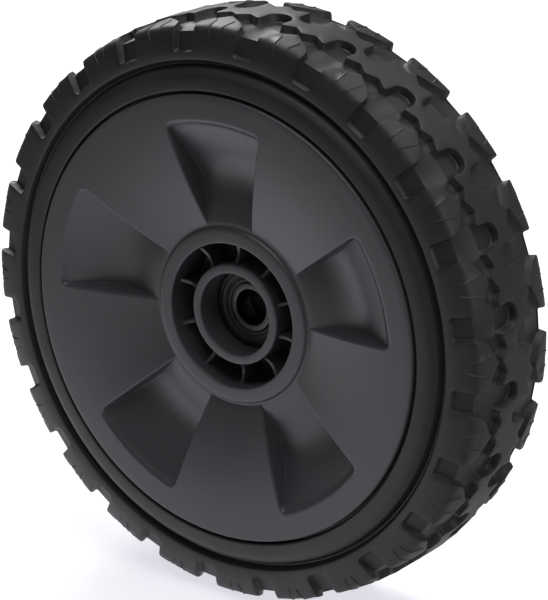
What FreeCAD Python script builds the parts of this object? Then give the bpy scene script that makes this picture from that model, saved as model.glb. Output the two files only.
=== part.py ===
import FreeCAD, Part
import Sketcher
import math
import os

# Lawn mower wheel: a moulded plastic rim, a rubber tyre with a block tread, and two sealed ball
# bearings with a spacer sleeve between them. Millimetres. The axle runs along Y, the face that
# shows on the machine looks along -Y, and the origin is on the axle at the middle of the tyre.

SIZES = {
    # whole wheel
    "tyre_radius": 100.0,
    "overall_width": 50.0,
    # tyre section
    "crown_flat_width": 20.0,
    "crown_drop": 2.1,
    "shoulder_width": 41.6,
    "section_height": 28.0,
    "sidewall_edge_height": 18.3,
    "sidewall_edge_width": 45.6,
    "sidewall_groove_height": 13.7,
    "sidewall_groove_half": 1.45,
    "sidewall_groove_depth": 2.3,
    "sidewall_width": 45.0,
    "bead_edge_height": 10.2,
    "bead_edge_width": 48.4,
    "bead_width": 48.8,
    "bead_gap": 0.85,
    "tyre_gap": 0.05,
    # tread
    "tread_pitches": 24,
    "tread_phase": 9.8,
    "far_stagger": -4.7,
    "groove_depth": 3.0,
    "notch_depth": 2.1,
    "groove_width": 8.6,
    "groove_overrun": 0.5,
    "groove_overlap": 1.0,
    "rib_tooth": 9.4,
    "rib_valley": 6.5,
    "valley_offset": 3.8,
    "block_nose": 13.4,
    "block_tip": 11.0,
    # rim
    "flange_height": 4.2,
    "flange_thickness": 3.0,
    "seat_radius": 72.0,
    "barrel_wall": 4.0,
    "disc_wall": 3.5,
    "dish_radius": 30.6,
    "dish_depth": 8.2,
    "hub_ring_radius": 29.7,
    "hub_ring_inner": 24.8,
    "hub_ring_rise": 1.3,
    "hub_ring_wall": 3.0,
    "recess_depth": 15.0,
    "recess_floor_wall": 3.0,
    "rim_phase": 20.4,
    # pockets in the disc
    "pocket_count": 5,
    "pocket_inner": 31.5,
    "pocket_outer": 67.0,
    "pocket_deepest": 45.0,
    "pocket_depth": 8.0,
    "pocket_angle": 32.5,
    "pocket_wall": 2.5,
    # ribs
    "rib_count": 10,
    "back_rib_thickness": 2.2,
    "back_rib_setback": 4.0,
    "front_rib_thickness": 1.2,
    "front_rib_drop": 4.0,
    "front_rib_dip": 1.6,
    # hub tube
    "hub_front_inset": 8.7,
    "hub_rear_inset": 3.0,
    "hub_front_radius": 17.3,
    "hub_rear_radius": 18.5,
    "hub_land_depth": 2.0,
    "front_bearing_inset": 9.1,
    "rear_bearing_inset": 1.0,
    # bearings
    "axle_radius": 6.0,
    "bearing_radius": 14.0,
    "bearing_width": 8.0,
    "bearing_chamfer": 0.3,
    "ball_radius": 2.381,
    "ball_circle": 10.0,
    "ball_count": 8,
    "race_gap": 0.06,
    "race_shoulder": 1.55,
    "seal_thickness": 0.75,
    "seal_inset": 0.3,
    "seal_seat_depth": 0.75,
    "seal_lip_gap": 0.15,
    "cage_thickness": 1.7,
    "cage_front": 1.0,
    "cage_seal_gap": 0.15,
    "cage_ball_gap": 0.3,
    "cage_ring_gap": 0.07,
    "press_gap": 0.01,
    # spacer sleeve
    "spacer_radius": 8.0,
}


class Size:
    """A length, angle or count, with the sheet expression that it is bound to."""

    def __init__(self, value, text):
        self.value = value
        self.text = text

    def combine(self, other, sign, result):
        return Size(result, f"({self.text} {sign} {as_size(other).text})")

    def __add__(self, other):
        return self.combine(other, "+", self.value + as_size(other).value)

    def __sub__(self, other):
        return self.combine(other, "-", self.value - as_size(other).value)

    def __mul__(self, other):
        return self.combine(other, "*", self.value * as_size(other).value)

    def __truediv__(self, other):
        return self.combine(other, "/", self.value / as_size(other).value)

    def __neg__(self):
        return as_size(0) - self


def as_size(number):
    if isinstance(number, Size):
        return number
    return Size(float(number), repr(float(number)))


def root(size):
    return Size(math.sqrt(size.value), f"sqrt({size.text})")


def sine(angle):
    return Size(math.sin(math.radians(angle.value)), f"sin({angle.text})")


def arc_radius(span, rise):
    """Radius of the arc that is level at one end and rises by `rise` over `span`."""
    return (span * span + rise * rise) / (rise * 2)


doc = FreeCAD.newDocument("MowerWheel")
sheet = doc.addObject("Spreadsheet::Sheet", "Sizes")
for row, (alias, number) in enumerate(SIZES.items(), start=1):
    sheet.set(f"A{row}", alias)
    sheet.set(f"B{row}", str(number))
    sheet.setAlias(f"B{row}", alias)
doc.recompute()


def get(alias):
    return Size(float(sheet.get(alias)), f"Sizes.{alias}")


def bind(thing, path, size):
    thing.setExpression(path, as_size(size).text)


def origin_feature(body, role):
    return next(f for f in body.Origin.OriginFeatures if f.Role == role)


def new_body(label):
    body = doc.addObject("PartDesign::Body", label)
    body.Label = label
    return body


def new_sketch(body, name, support, height=None):
    """Sketch on an origin or datum plane, raised above it by `height`."""
    sketch = body.newObject("Sketcher::SketchObject", name)
    sketch.AttachmentSupport = [(support, "")]
    sketch.MapMode = "FlatFace"
    if height is not None:
        sketch.AttachmentOffset = FreeCAD.Placement(FreeCAD.Vector(0, 0, height.value), FreeCAD.Rotation())
        bind(sketch, "AttachmentOffset.Base.z", height)
    return sketch


def pin_point(sketch, edge, end, point):
    """Fix one end of an edge at a point given by two sizes."""
    for kind, size in zip(("DistanceX", "DistanceY"), point):
        index = sketch.addConstraint(Sketcher.Constraint(kind, -1, 1, edge, end, size.value))
        bind(sketch, f"Constraints[{index}]", size)


def arc_edge(start, end, radius, turn):
    """Arc from start to end: turn +1 keeps its centre on the left, -1 on the right."""
    a = FreeCAD.Vector(start[0].value, start[1].value, 0)
    b = FreeCAD.Vector(end[0].value, end[1].value, 0)
    chord = b - a
    left = FreeCAD.Vector(-chord.y, chord.x, 0).normalize()
    reach = math.sqrt(max(radius.value ** 2 - (chord.Length / 2) ** 2, 0.0))
    centre = (a + b) / 2 + left * (reach * turn)
    first, last = (a, b) if turn > 0 else (b, a)
    circle = Part.Circle(centre, FreeCAD.Vector(0, 0, 1), radius.value)
    angles = [math.atan2(p.y - centre.y, p.x - centre.x) for p in (first, last)]
    return Part.ArcOfCircle(circle, angles[0], angles[1])


def closed_outline(sketch, points, arcs=None):
    """Closed outline through the points. arcs maps an edge's number to its (radius, turn)."""
    arcs = arcs or {}
    points = [(as_size(x), as_size(y)) for x, y in points]
    ends = []
    for number, start in enumerate(points):
        finish = points[(number + 1) % len(points)]
        if number in arcs:
            radius, turn = arcs[number]
            edge = sketch.addGeometry(arc_edge(start, finish, radius, turn))
            index = sketch.addConstraint(Sketcher.Constraint("Radius", edge, radius.value))
            bind(sketch, f"Constraints[{index}]", radius)
            ends.append((edge, 1, 2) if turn > 0 else (edge, 2, 1))
        else:
            a = FreeCAD.Vector(start[0].value, start[1].value, 0)
            b = FreeCAD.Vector(finish[0].value, finish[1].value, 0)
            edge = sketch.addGeometry(Part.LineSegment(a, b))
            ends.append((edge, 1, 2))
    for number, (edge, first, last) in enumerate(ends):
        follower, follower_first, _ = ends[(number + 1) % len(ends)]
        sketch.addConstraint(Sketcher.Constraint("Coincident", edge, last, follower, follower_first))
        pin_point(sketch, edge, first, points[number])


def revolve(body, name, points, arcs=None, kind="Revolution", angle=None):
    """Turn a section, given as (radius, y) points, about the axle."""
    sketch = new_sketch(body, name + "_section", origin_feature(body, "XY_Plane"))
    closed_outline(sketch, points, arcs)
    feature = body.newObject("PartDesign::" + kind, name)
    feature.Profile = sketch
    feature.ReferenceAxis = (sketch, ["V_Axis"])
    feature.Angle = 360
    if angle is not None:
        feature.Midplane = True
        bind(feature, "Angle", angle)
    return feature


def around_axle(body, name, originals, count):
    pattern = body.newObject("PartDesign::PolarPattern", name)
    pattern.Originals = originals
    pattern.Axis = (origin_feature(body, "Y_Axis"), [""])
    pattern.Angle = 360
    bind(pattern, "Occurrences", count)
    body.Tip = pattern
    return pattern


def plate(body, name, points, thickness, arcs=None):
    """Rib in a plane through the axle, given by its (radius, y) outline."""
    sketch = new_sketch(body, name + "_outline", origin_feature(body, "XY_Plane"))
    closed_outline(sketch, points, arcs)
    pad = body.newObject("PartDesign::Pad", name)
    pad.Profile = sketch
    pad.SideType = "Symmetric"
    bind(pad, "Length", thickness)
    return pad


def turn_about_axle(thing, angle):
    """Turn a piece about the axle, from +X towards +Z."""
    turn = FreeCAD.Rotation(FreeCAD.Vector(0, 1, 0), -angle.value)
    thing.Placement = FreeCAD.Placement(FreeCAD.Vector(), turn)
    bind(thing, "Placement.Rotation.Angle", -angle)


half_width = get("overall_width") / 2

# Rim

seat_radius = get("seat_radius")
flange_radius = seat_radius + get("flange_height")
flange_inside = half_width - get("flange_thickness")
barrel_inside = seat_radius - get("barrel_wall")
dish_radius = get("dish_radius")
dish_slope = get("dish_depth") / (flange_radius - dish_radius)


def dish(radius):
    """Y of the disc's face at a radius: a cone that sinks towards the hub."""
    return dish_slope * (flange_radius - radius) - half_width


hub_ring_face = dish(dish_radius) - get("hub_ring_rise")
hub_ring_inner = get("hub_ring_inner")
recess_floor = hub_ring_face + get("recess_depth")
recess_back = recess_floor + get("recess_floor_wall")
hub_front = get("hub_front_inset") - half_width
hub_rear = half_width - get("hub_rear_inset")
hub_front_radius = get("hub_front_radius")
hub_rear_radius = get("hub_rear_radius")
bearing_width = get("bearing_width")
bearing_seat = get("bearing_radius") + get("press_gap")
hub_land = bearing_seat - get("hub_land_depth")
front_bearing_start = hub_front + get("front_bearing_inset")
front_bearing_end = front_bearing_start + bearing_width
rear_bearing_end = hub_rear - get("rear_bearing_inset")
rear_bearing_start = rear_bearing_end - bearing_width
hub_ring_back_radius = hub_ring_inner + get("hub_ring_wall")
disc_wall = get("disc_wall")

rim = new_body("rim")
revolve(rim, "shell", [
    (bearing_seat, hub_front),
    (hub_front_radius, hub_front),
    (hub_front_radius, recess_floor),
    (hub_ring_inner, recess_floor),
    (hub_ring_inner, hub_ring_face),
    (get("hub_ring_radius"), hub_ring_face),
    (dish_radius, dish(dish_radius)),
    (flange_radius, -half_width),
    (flange_radius, -flange_inside),
    (seat_radius, -flange_inside),
    (seat_radius, flange_inside),
    (flange_radius, flange_inside),
    (flange_radius, half_width),
    (barrel_inside, half_width),
    (barrel_inside, dish(barrel_inside) + disc_wall),
    (hub_ring_back_radius, dish(hub_ring_back_radius) + disc_wall),
    (hub_ring_back_radius, recess_back),
    (hub_rear_radius, recess_back),
    (hub_rear_radius, hub_rear),
    (bearing_seat, hub_rear),
    (bearing_seat, rear_bearing_start),
    (hub_land, rear_bearing_start),
    (hub_land, front_bearing_end),
    (bearing_seat, front_bearing_end),
])

# Each pocket is a scoop turned about the axle, with its own thin wall behind the disc.
pocket_inner = get("pocket_inner")
pocket_outer = get("pocket_outer")
pocket_deepest = get("pocket_deepest")
pocket_wall = get("pocket_wall")
pocket_bottom = dish(pocket_deepest) + get("pocket_depth")
pocket_angle = get("pocket_angle")
wall_angle = pocket_wall / pocket_deepest * (360 / math.pi)


def scoop(inner, outer, bottom):
    """Section of a scoop: level at its deepest point, an arc up to each end on the disc's face."""
    inner_arc = arc_radius(pocket_deepest - inner, bottom - dish(inner))
    outer_arc = arc_radius(outer - pocket_deepest, bottom - dish(outer))
    points = [
        (inner, dish(inner)),
        (pocket_deepest, bottom),
        (outer, dish(outer)),
    ]
    return points, {0: (inner_arc, -1), 1: (outer_arc, -1)}


housing_points, housing_arcs = scoop(pocket_inner - pocket_wall / 2, barrel_inside + pocket_wall / 2,
                                     pocket_bottom + pocket_wall)
housing = revolve(rim, "pocket_housing", housing_points, housing_arcs, angle=pocket_angle + wall_angle)
around_axle(rim, "pocket_housings", [housing], get("pocket_count"))

back_rib_edge = half_width - get("back_rib_setback")
back_rib = plate(rim, "back_rib", [
    (hub_rear_radius - pocket_wall / 2, recess_back - get("recess_floor_wall") / 2),
    (hub_ring_back_radius - get("hub_ring_wall") / 2, recess_back - get("recess_floor_wall") / 2),
    (hub_ring_back_radius - get("hub_ring_wall") / 2, dish(hub_ring_back_radius) + disc_wall / 2),
    (barrel_inside + get("barrel_wall") / 2, dish(barrel_inside) + disc_wall / 2),
    (barrel_inside + get("barrel_wall") / 2, back_rib_edge),
    (hub_rear_radius - pocket_wall / 2, back_rib_edge - get("hub_rear_inset")),
], get("back_rib_thickness"))
around_axle(rim, "back_ribs", [back_rib], get("rib_count"))

scoop_points, scoop_arcs = scoop(pocket_inner, pocket_outer, pocket_bottom)
pocket = revolve(rim, "pocket", [
    *scoop_points,
    (pocket_outer, -half_width * 2),
    (pocket_inner, -half_width * 2),
], scoop_arcs, kind="Groove", angle=pocket_angle)
around_axle(rim, "pockets", [pocket], get("pocket_count"))

# The thin ribs of the hub recess have a top edge that dips between the two walls.
front_rib_top = hub_ring_face + get("front_rib_drop")
front_rib_half = (hub_ring_inner - hub_front_radius) / 2
front_rib_arc = arc_radius(front_rib_half, get("front_rib_dip"))
front_rib_root = get("recess_floor_wall") / 2
front_rib = plate(rim, "front_rib", [
    (hub_front_radius - front_rib_root, recess_floor + front_rib_root),
    (hub_ring_inner + front_rib_root, recess_floor + front_rib_root),
    (hub_ring_inner + front_rib_root, front_rib_top),
    (hub_ring_inner, front_rib_top),
    (hub_front_radius, front_rib_top),
    (hub_front_radius - front_rib_root, front_rib_top),
], get("front_rib_thickness"), {3: (front_rib_arc, 1)})
around_axle(rim, "front_ribs", [front_rib], get("rib_count"))
turn_about_axle(rim, get("rim_phase"))

# Tyre: heights on its side are measured from the rim's seat, and stretch or shrink with the section.

tyre_radius = get("tyre_radius")
section_stretch = (tyre_radius - seat_radius) / get("section_height")
tyre_gap = get("tyre_gap")
shoulder_half = get("shoulder_width") / 2
shoulder_radius = tyre_radius - get("crown_drop")
edge_half = get("sidewall_edge_width") / 2
edge_radius = seat_radius + section_stretch * get("sidewall_edge_height")
sidewall_half = get("sidewall_width") / 2
groove_radius = seat_radius + section_stretch * get("sidewall_groove_height")
groove_inner = groove_radius - get("sidewall_groove_half")
groove_outer = groove_radius + get("sidewall_groove_half")
groove_floor = sidewall_half - get("sidewall_groove_depth")
bead_edge_radius = seat_radius + section_stretch * get("bead_edge_height")
bead_half = get("bead_width") / 2
bead_radius = flange_radius + get("bead_gap")
bead_side = flange_inside - tyre_gap

tyre_side = [
    (tyre_radius, get("crown_flat_width") / 2),
    (shoulder_radius, shoulder_half),
    (edge_radius, edge_half),
    (groove_outer, sidewall_half),
    (groove_radius, groove_floor),
    (groove_inner, sidewall_half),
    (bead_edge_radius, get("bead_edge_width") / 2),
    (bead_radius, bead_half),
    (bead_radius, bead_side),
    (seat_radius + tyre_gap, bead_side),
]
tyre = new_body("tyre")
revolve(tyre, "carcass", tyre_side + [(radius, -y) for radius, y in reversed(tyre_side)])

# Tread: on each side a row of grooves runs from the shoulder to a round end in the central rib, and
# a zigzag gap parts the rib from each block. The grooves' floor follows the shoulder.
tread_floor = tyre_radius - get("groove_depth")
tread_top = tyre_radius + get("groove_depth")
shoulder_run = edge_half - shoulder_half
shoulder_fall = shoulder_radius - edge_radius
shoulder_length = root(shoulder_run * shoulder_run + shoulder_fall * shoulder_fall)
notch_shift = get("notch_depth") * shoulder_fall / shoulder_length
notch_drop = get("notch_depth") * shoulder_run / shoulder_length
groove_half = get("groove_width") / 2
groove_end = groove_half - get("groove_overrun")
half_pitch = tyre_radius * math.pi / get("tread_pitches")
half_pitch_angle = as_size(180) / get("tread_pitches")
gap_half = half_pitch - groove_half
gap_reach = gap_half + get("groove_overlap")
valley = get("valley_offset")
nose = get("block_nose")
block_edge = nose + gap_half - valley
rib_tooth = get("rib_tooth")
rib_valley = get("rib_valley")


def tread_plane(name, role, axis, angle):
    """Plane of the tyre that is turned about the axle from one of its origin planes."""
    plane = tyre.newObject("PartDesign::Plane", name + "_plane")
    plane.AttachmentSupport = [(origin_feature(tyre, role), "")]
    plane.MapMode = "FlatFace"
    plane.AttachmentOffset = FreeCAD.Placement(FreeCAD.Vector(), FreeCAD.Rotation(axis, -angle.value))
    bind(plane, "AttachmentOffset.Rotation.Angle", -angle)
    return plane


def tread_pocket(name, sketch, depth, side_type):
    pocket = tyre.newObject("PartDesign::Pocket", name)
    pocket.Profile = sketch
    pocket.SideType = side_type
    bind(pocket, "Length", depth)
    return pocket


def groove(name, side, angle):
    """Straight part of a groove, drawn as its (radius, y) section and cut to the groove's width."""
    plane = tread_plane(name, "XY_Plane", FreeCAD.Vector(0, 1, 0), angle)
    sketch = new_sketch(tyre, name + "_section", plane)
    closed_outline(sketch, [
        (tread_top, groove_end * side),
        (tread_floor, groove_end * side),
        (tread_floor, rib_tooth * side),
        (shoulder_radius - notch_drop, (shoulder_half - notch_shift) * side),
        (edge_radius, (edge_half - notch_shift) * side),
        (edge_radius, half_width * 2 * side),
        (tread_top, half_width * 2 * side),
    ])
    return tread_pocket(name, sketch, get("groove_width"), "Symmetric")


def groove_round_end(name, side, angle):
    plane = tread_plane(name, "YZ_Plane", FreeCAD.Vector(1, 0, 0), angle)
    sketch = new_sketch(tyre, name + "_circle", plane, tread_top)
    centre = groove_end * side
    circle = Part.Circle(FreeCAD.Vector(centre.value, 0, 0), FreeCAD.Vector(0, 0, 1), groove_half.value)
    edge = sketch.addGeometry(circle)
    index = sketch.addConstraint(Sketcher.Constraint("Radius", edge, groove_half.value))
    bind(sketch, f"Constraints[{index}]", groove_half)
    pin_point(sketch, edge, 3, (centre, as_size(0)))
    return tread_pocket(name, sketch, tread_top - tread_floor, "One side")


def zigzag_gap(name, side, angle):
    """Gap between the rib's toothed edge and a block's pointed front. Points are (y, along the tread)."""
    plane = tread_plane(name, "YZ_Plane", FreeCAD.Vector(1, 0, 0), angle)
    sketch = new_sketch(tyre, name + "_outline", plane, tread_top)
    rib_edge = [(rib_tooth, gap_reach), (rib_tooth, gap_half), (rib_valley, valley)]
    block_front = [(nose, valley), (block_edge, gap_half), (block_edge, gap_reach)]
    outline = [
        *[(y, -along) for y, along in rib_edge],
        (rib_tooth, 0),
        *reversed(rib_edge),
        *reversed(block_front),
        (get("block_tip"), 0),
        *[(y, -along) for y, along in block_front],
    ]
    closed_outline(sketch, [(y * side, along) for y, along in outline])
    return tread_pocket(name, sketch, tread_top - tread_floor, "One side")


def tread_row(name, side, angle):
    cuts = [
        groove(name + "_groove", side, angle),
        groove_round_end(name + "_groove_end", side, angle),
        zigzag_gap(name + "_gap", side, angle + half_pitch_angle),
    ]
    around_axle(tyre, name + "_tread", cuts, get("tread_pitches"))


tread_row("near", -1, as_size(0))
tread_row("far", 1, get("far_stagger"))
turn_about_axle(tyre, get("tread_phase"))

# Bearings

axle_radius = get("axle_radius")
bearing_radius = get("bearing_radius")
bearing_half = bearing_width / 2
chamfer = get("bearing_chamfer")
ball_radius = get("ball_radius")
ball_circle = get("ball_circle")
BALL_FLATS = 8
inner_shoulder = ball_circle - get("race_shoulder")
outer_shoulder = ball_circle + get("race_shoulder")
race_reach = ball_radius + get("race_gap")
race_flat = race_reach * (math.sqrt(2) - 1)
race_half = race_flat + race_reach - get("race_shoulder")
seal_outside = bearing_half - get("seal_inset")
seal_inside = seal_outside - get("seal_thickness")
seal_seat = outer_shoulder + get("seal_seat_depth")
cage_half = get("cage_thickness") / 2


def at_y(body, y):
    body.Placement = FreeCAD.Placement(FreeCAD.Vector(0, y.value, 0), body.Placement.Rotation)
    bind(body, "Placement.Base.y", y)
    return body


def outer_ring(name):
    """Ring in the hub. Its race has a flat bottom and slanted sides that clear the balls all round."""
    body = new_body(name)
    revolve(body, "ring", [
        (bearing_radius, chamfer - bearing_half),
        (bearing_radius, bearing_half - chamfer),
        (bearing_radius - chamfer, bearing_half),
        (seal_seat, bearing_half),
        (seal_seat, seal_inside),
        (outer_shoulder, seal_inside),
        (outer_shoulder, race_half),
        (ball_circle + race_reach, race_flat),
        (ball_circle + race_reach, -race_flat),
        (outer_shoulder, -race_half),
        (outer_shoulder, -seal_inside),
        (seal_seat, -seal_inside),
        (seal_seat, -bearing_half),
        (bearing_radius - chamfer, -bearing_half),
    ])
    return body


def inner_ring(name):
    body = new_body(name)
    revolve(body, "ring", [
        (axle_radius, bearing_half - chamfer),
        (axle_radius, chamfer - bearing_half),
        (axle_radius + chamfer, -bearing_half),
        (inner_shoulder, -bearing_half),
        (inner_shoulder, -race_half),
        (ball_circle - race_reach, -race_flat),
        (ball_circle - race_reach, race_flat),
        (inner_shoulder, race_half),
        (inner_shoulder, bearing_half),
        (axle_radius + chamfer, bearing_half),
    ])
    return body


def balls(name):
    """Balls sealed inside the bearing, each with flats that lie against the races."""
    body = new_body(name)
    ball = body.newObject("PartDesign::AdditivePrism", "ball")
    ball.AttachmentSupport = [(origin_feature(body, "XY_Plane"), "")]
    ball.MapMode = "FlatFace"
    flat_to_race = FreeCAD.Rotation(FreeCAD.Vector(0, 0, 1), 180 / BALL_FLATS)
    middle = FreeCAD.Vector(ball_circle.value, 0, -ball_radius.value)
    ball.AttachmentOffset = FreeCAD.Placement(middle, flat_to_race)
    bind(ball, "AttachmentOffset.Base.x", ball_circle)
    bind(ball, "AttachmentOffset.Base.z", -ball_radius)
    ball.Polygon = BALL_FLATS
    bind(ball, "Circumradius", ball_radius / math.cos(math.pi / BALL_FLATS))
    bind(ball, "Height", ball_radius * 2)
    doc.recompute()
    rounding = body.newObject("PartDesign::Chamfer", "ball_rounding")
    ends = [f"Face{n}" for n, face in enumerate(ball.Shape.Faces, 1) if len(face.Edges) == BALL_FLATS]
    rounding.Base = (ball, ends)
    bind(rounding, "Size", ball_radius * (1 - math.tan(math.pi / BALL_FLATS)))
    doc.recompute()
    ball_set = around_axle(body, "ball_set", [], get("ball_count"))
    ball_set.TransformMode = "Whole shape"
    return body


def cage(name):
    """Snap cage: a thin ring beside the balls, with a finger between each ball and the next."""
    body = new_body(name)
    cage_back = seal_inside - get("cage_seal_gap")
    ring_front = ball_radius + get("cage_ring_gap")
    inside = ball_circle - cage_half
    outside = ball_circle + cage_half
    revolve(body, "ring", [
        (inside, ring_front),
        (outside, ring_front),
        (outside, cage_back),
        (inside, cage_back),
    ])
    ball_spacing = ball_circle * 2 * sine(as_size(180) / get("ball_count"))
    finger = plate(body, "finger", [
        (inside, -get("cage_front")),
        (outside, -get("cage_front")),
        (outside, cage_back),
        (inside, cage_back),
    ], ball_spacing - (ball_radius + get("cage_ball_gap")) * 2)
    around_axle(body, "fingers", [finger], get("ball_count"))
    turn_about_axle(body, as_size(180) / get("ball_count"))
    return body


def seal(name, side):
    body = new_body(name)
    lip = inner_shoulder + get("seal_lip_gap")
    edge = seal_seat - get("press_gap")
    revolve(body, "seal", [
        (lip, seal_inside * side),
        (edge, seal_inside * side),
        (edge, seal_outside * side),
        (lip, seal_outside * side),
    ])
    return body


def bearing(name, start, outside):
    """Sealed ball bearing from y = start. outside is the side, -1 or +1, that faces out of the hub."""
    pieces = [
        outer_ring(name + "_outer_ring"),
        inner_ring(name + "_inner_ring"),
        balls(name + "_balls"),
        cage(name + "_cage"),
        seal(name + "_outside_seal", outside),
        seal(name + "_inside_seal", -outside),
    ]
    return [at_y(piece, start + bearing_half) for piece in pieces]


bearings = bearing("front_bearing", front_bearing_start, -1) + bearing("rear_bearing", rear_bearing_start, 1)

# Spacer sleeve between the inner rings

axle_spacer = new_body("axle_spacer")
revolve(axle_spacer, "sleeve", [
    (axle_radius, front_bearing_end),
    (get("spacer_radius"), front_bearing_end),
    (get("spacer_radius"), rear_bearing_start),
    (axle_radius, rear_bearing_start),
])

# Build, check and write

doc.recompute()
for item in doc.Objects:
    faults = [word for word in item.State if word in ("Invalid", "Error")]
    if faults:
        raise RuntimeError(f"{item.Name} is {faults}: {item.getStatusString()}")

pieces = [rim, tyre, *bearings, axle_spacer]
for piece in pieces:
    if piece.Shape.isNull() or not piece.Shape.isValid():
        raise RuntimeError(f"{piece.Label} has no valid shape")

os.makedirs("parts", exist_ok=True)
for piece in pieces:
    piece.Shape.exportStep(f"parts/{piece.Label}.step")
    print(piece.Label, len(piece.Shape.Solids), "solids", round(piece.Shape.Volume / 1000, 3), "cm3")
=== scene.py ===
# %% [markdown]
# # A lawn mower wheel
#
# The wheel has three sorts of piece: a moulded plastic rim, a rubber tyre with a block tread, and two
# sealed ball bearings with a sleeve between them. The CAD model fixes the sizes and the joints. This
# lesson gives each piece the surface of the real one: rounded mould edges, fine tread lines, satin
# plastic and dull rubber.
#
# The axle lies along Y, the side with the scooped pockets looks along -Y, and Z is up.

# %% Load the frame
import math

import bmesh
import bpy
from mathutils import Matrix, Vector
from mathutils.geometry import delaunay_2d_cdt


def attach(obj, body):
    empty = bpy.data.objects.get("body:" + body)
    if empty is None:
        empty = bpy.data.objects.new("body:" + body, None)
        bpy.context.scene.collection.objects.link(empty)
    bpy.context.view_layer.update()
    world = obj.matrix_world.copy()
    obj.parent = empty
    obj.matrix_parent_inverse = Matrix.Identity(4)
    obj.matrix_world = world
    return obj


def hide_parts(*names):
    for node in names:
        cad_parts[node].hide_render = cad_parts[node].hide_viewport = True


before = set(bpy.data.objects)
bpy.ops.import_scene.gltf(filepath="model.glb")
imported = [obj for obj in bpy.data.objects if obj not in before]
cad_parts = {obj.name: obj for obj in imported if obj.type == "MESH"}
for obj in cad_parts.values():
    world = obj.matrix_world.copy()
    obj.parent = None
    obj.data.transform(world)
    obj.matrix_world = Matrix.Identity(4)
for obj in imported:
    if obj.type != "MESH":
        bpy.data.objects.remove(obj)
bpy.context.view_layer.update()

MM = 0.001
TYRE_RADIUS, HALF_WIDTH = 100.0, 25.0

# %% [markdown]
# ## Outlines with rounded corners
#
# Nothing that leaves a mould or a grinding machine has a razor edge, and the thin line of light on a
# rounded edge is what tells the eye that a thing is real. A bevel modifier would round every edge alike.
# Here an outline is a short list of corners instead, and each corner has its own radius.

# %% Round one corner
ARC_STEP = math.radians(30)
LONGEST_CUT = 0.49


def corner_arc(corner, back, ahead, turn, radius):
    """The arc that rounds a corner, between the run behind it and the run ahead."""
    cut = min(radius * math.tan(turn / 2), LONGEST_CUT * min(back.length, ahead.length))
    radius = cut / math.tan(turn / 2)
    centre = corner + (back.normalized() + ahead.normalized()).normalized() * math.hypot(radius, cut)
    spoke = corner + back.normalized() * cut - centre
    sense = 1 if back.x * ahead.y - back.y * ahead.x < 0 else -1
    steps = 2 * max(1, math.ceil(turn / (2 * ARC_STEP)))
    arc = []
    for step in range(steps + 1):
        angle = sense * turn * step / steps
        arc.append((
            centre.x + spoke.x * math.cos(angle) - spoke.y * math.sin(angle),
            centre.y + spoke.x * math.sin(angle) + spoke.y * math.cos(angle),
        ))
    return arc


square_corner = corner_arc(Vector((9, 0)), Vector((-9, 0)), Vector((0, 9)), math.pi / 2, 2)
print("a square corner becomes", len(square_corner), "points")

# %% Round a whole outline
STRAIGHT = 0.01


def rounded(rows, closed=False):
    """An outline from rows of two places and a radius. An open outline keeps its two ends."""
    outline = []
    last = len(rows) - 1
    for number, (x, y, radius) in enumerate(rows):
        corner = Vector((x, y))
        back = Vector(rows[number - 1][:2]) - corner
        ahead = Vector(rows[0 if number == last else number + 1][:2]) - corner
        at_end = not closed and number in (0, last)
        turn = 0 if at_end else math.pi - back.angle(ahead)
        if radius == 0 or turn < STRAIGHT:
            outline.append(tuple(corner))
        else:
            outline += corner_arc(corner, back, ahead, turn, radius)
    return outline


def divided(line, longest):
    """The line with extra points, so that no run is longer than `longest`."""
    points = [line[0]]
    for start, end in zip(line, line[1:]):
        parts = max(1, math.ceil(math.dist(start, end) / longest))
        for part in range(1, parts + 1):
            share = part / parts
            points.append((start[0] + (end[0] - start[0]) * share, start[1] + (end[1] - start[1]) * share))
    return points


square = rounded([(0, 0, 2), (9, 0, 2), (9, 9, 2), (0, 9, 2)], closed=True)
print("a square with rounded corners has", len(square), "points, and", len(divided(square, 1)), "if divided")

# %% [markdown]
# ## From points to pieces
#
# Each piece of the real wheel is one lump of material, so its mesh has to be one closed skin. It could be
# modelled by hand in edit mode, but a script can run again after every change. Points are worked out in
# millimetres and turned into metres here. Points at the same place become one, faces without area go, and
# all faces are turned to look outward. Edges where faces meet steeply stay crisp, all others are smooth.

# %% Make a piece from points and faces
CRISP = math.radians(40)
SAME_PLACE = 0.004 * MM


def make_piece(name, points, faces):
    """A shown mesh of that name, from points in millimetres."""
    mesh = bpy.data.meshes.new(name)
    mesh.from_pydata([(x * MM, y * MM, z * MM) for x, y, z in points], [], faces)
    skin = bmesh.new()
    skin.from_mesh(mesh)
    bmesh.ops.remove_doubles(skin, verts=skin.verts, dist=SAME_PLACE)
    bmesh.ops.dissolve_degenerate(skin, edges=skin.edges, dist=SAME_PLACE)
    bmesh.ops.recalc_face_normals(skin, faces=skin.faces)
    open_edges = sum(1 for edge in skin.edges if not edge.is_manifold)
    skin.to_mesh(mesh)
    skin.free()
    mesh.shade_smooth()
    mesh.set_sharp_from_angle(angle=CRISP)
    print(name, "has", len(mesh.polygons), "faces and", open_edges, "open edges")
    piece = bpy.data.objects.new(name, mesh)
    bpy.context.scene.collection.objects.link(piece)
    return piece


print("edges steeper than", round(math.degrees(CRISP)), "degrees stay crisp")

# %% [markdown]
# The tyre turns with the wheel, while the inner rings of the bearings stay on the axle. A piece could be
# parented to an empty for that. Points lie round the axle, so they are given by a radius, a place along the
# axle and an angle.

# %% Put a piece in its solid's place
dressed = []


def stand_for(piece, node, body, slot):
    """The piece takes the place of a CAD node on its body, and waits for the finish of its slot."""
    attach(piece, body)
    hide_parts(node)
    dressed.append((piece, slot))


def around(radius, y, angle):
    """A point at that radius and place along the axle."""
    return radius * math.cos(angle), y, radius * math.sin(angle)


print("a quarter turn from +X leads to", [round(value, 3) for value in around(1, 0, math.pi / 2)])

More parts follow.
